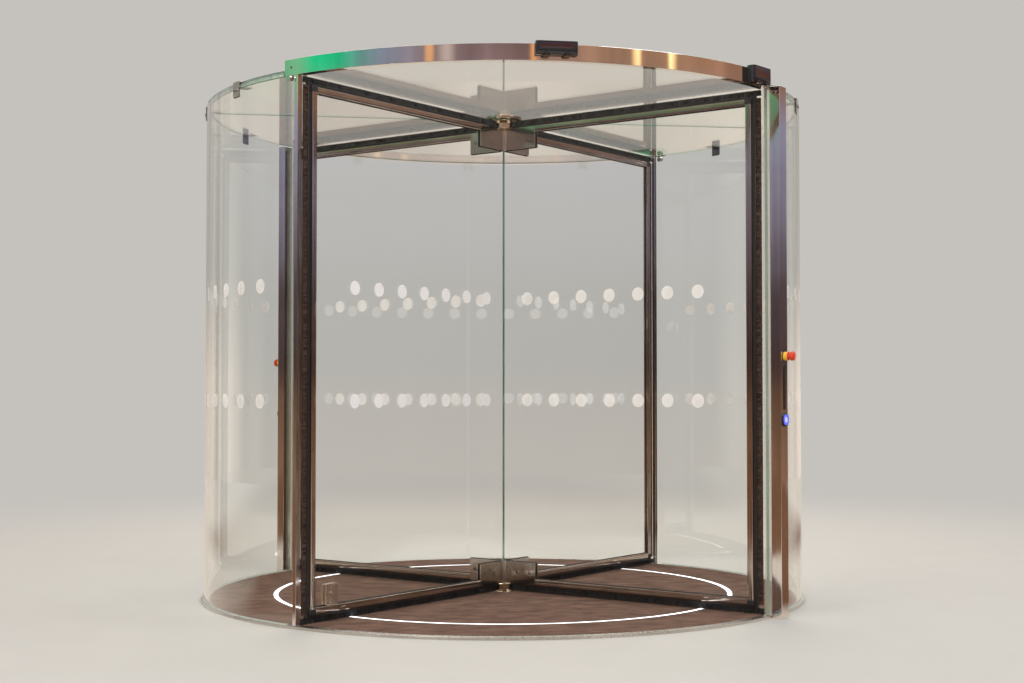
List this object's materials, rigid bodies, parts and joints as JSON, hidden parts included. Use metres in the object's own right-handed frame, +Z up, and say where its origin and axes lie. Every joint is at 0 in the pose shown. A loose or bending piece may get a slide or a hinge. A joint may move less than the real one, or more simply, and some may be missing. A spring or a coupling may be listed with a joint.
{
  "type": "glass revolving door",
  "caption": "All-glass revolving door with a curved glass drum, glass ceiling, polished steel trim and leaves that turn without a stop.",
  "frame": {"origin": "on the pivot axis, at the underside of the base", "axes": "+Z up along the pivot, -Y towards the street side, +X to the right as seen from the street"},
  "size_m": [3.034, 3.089, 2.498],
  "materials": {
    "steel_base": "plain mill steel",
    "steel_rim": "satin stainless steel",
    "steel_post": "mirror polished stainless steel",
    "steel_fascia": "mirror polished stainless steel",
    "steel_fitting": "polished stainless steel",
    "steel_bearing": "turned and polished stainless steel",
    "leaf_metal": "polished",
    "lock_metal": "satin",
    "wall_glass": "clear, laminated and curved",
    "ceiling_glass": "clear, laminated",
    "leaf_glass": "clear, toughened",
    "seal": "translucent silicone",
    "brush": "dense black bristle",
    "mat": "ribbed dark brown entrance mat",
    "light": "lit white diffuser",
    "sensor_plastic": "glossy black",
    "stop_plastic": "red head on a yellow collar",
    "access_plastic": "black with a blue lit ring"
  },
  "bodies": {
    "drum": {"base_plate": "steel_base", "floor_rim": "steel_rim", "mat_centre": "mat", "mat_outer": "mat", "light_ring": "light", "floor_bearing": "steel_bearing", "wall_left_front": "wall_glass", "wall_left_rear": "wall_glass", "wall_right_front": "wall_glass", "wall_right_rear": "wall_glass", "wall_joints": "seal", "edge_channels_front": "steel_post", "edge_channels_rear": "steel_post", "pinch_post_front": "steel_post", "pinch_post_rear": "steel_post", "ceiling_front": "ceiling_glass", "ceiling_rear": "ceiling_glass", "ceiling_bearing": "steel_bearing", "clamps_left": "steel_fitting", "clamps_right": "steel_fitting", "fascia_front": "steel_fascia", "fascia_rear": "steel_fascia", "band_studs": "steel_fitting", "sensors_front": "sensor_plastic", "sensors_rear": "sensor_plastic", "stop_buttons": "stop_plastic", "access_buttons": "access_plastic"},
    "rotor": {"leaf_1_glass": "leaf_glass", "leaf_2_glass": "leaf_glass", "leaf_3_glass": "leaf_glass", "leaf_4_glass": "leaf_glass", "leaf_1_frame": "leaf_metal", "leaf_2_frame": "leaf_metal", "leaf_3_frame": "leaf_metal", "leaf_4_frame": "leaf_metal", "leaf_1_brushes": "brush", "leaf_2_brushes": "brush", "leaf_3_brushes": "brush", "leaf_4_brushes": "brush", "hub_patches_top": "steel_fitting", "hub_patches_bottom": "steel_fitting", "hub_joint": "seal", "top_pivot": "steel_bearing", "bottom_pivot": "steel_bearing", "leaf_lock": "lock_metal"}
  },
  "joints": [
    {"name": "leaf_turn", "type": "hinge", "parent": "drum", "child": "rotor", "pos_m": [0, 0, 0.01], "axis": [0, 0, 1], "continuous": true}
  ]
}
